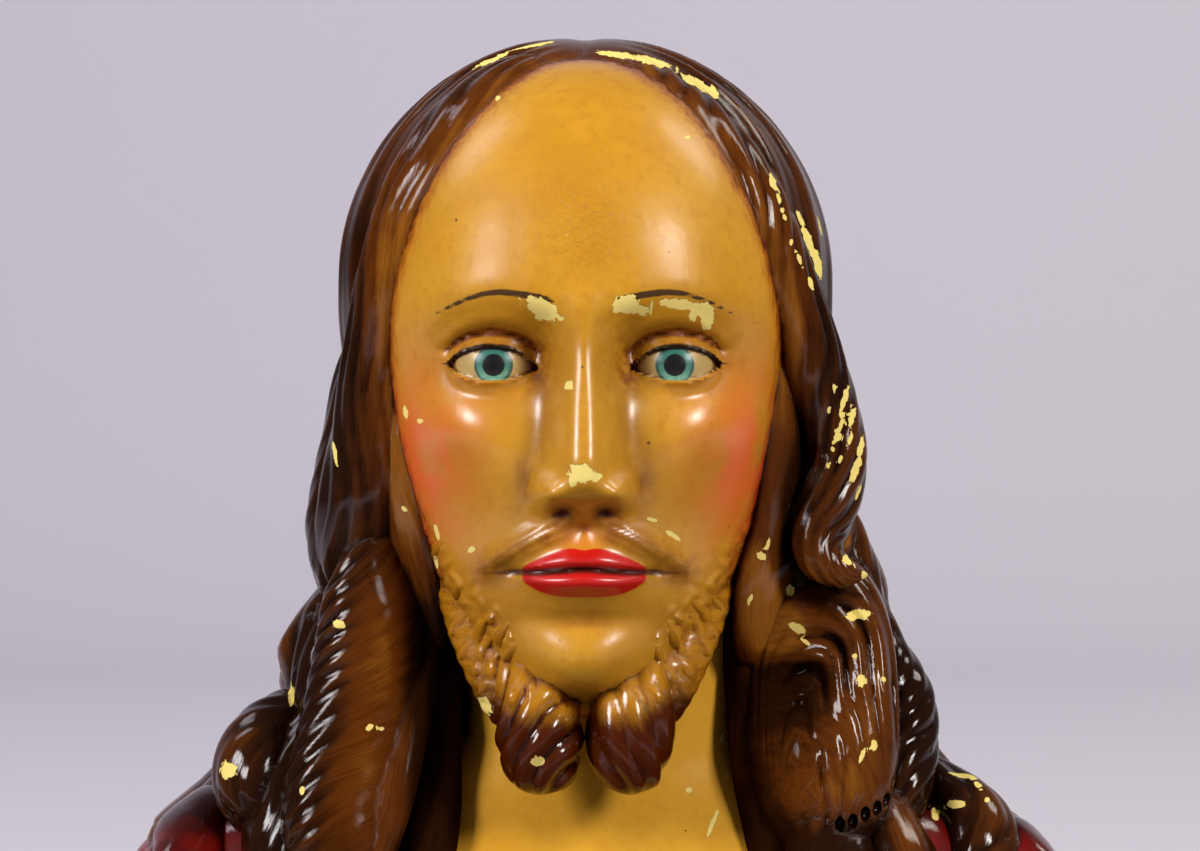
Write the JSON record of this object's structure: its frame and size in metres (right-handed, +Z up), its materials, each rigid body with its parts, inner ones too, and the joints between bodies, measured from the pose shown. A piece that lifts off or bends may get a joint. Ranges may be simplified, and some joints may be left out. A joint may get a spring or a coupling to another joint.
{
  "type": "sacred heart statue bust",
  "caption": "Painted plaster bust of a bearded sacred heart figure with long parted hair, a mantle over both shoulders and a flat underside.",
  "frame": {"origin": "middle of the flat underside, on the head's centre plane", "axes": "+Z up, the face looks along -Y, +X towards the figure's left shoulder"},
  "size_m": [0.1888, 0.1014, 0.1776],
  "materials": {
    "painted_plaster": "oil colours under a glossy yellowed varnish, chipped to pale cream plaster"
  },
  "bodies": {
    "root": {"bust": "painted_plaster"}
  },
  "joints": []
}
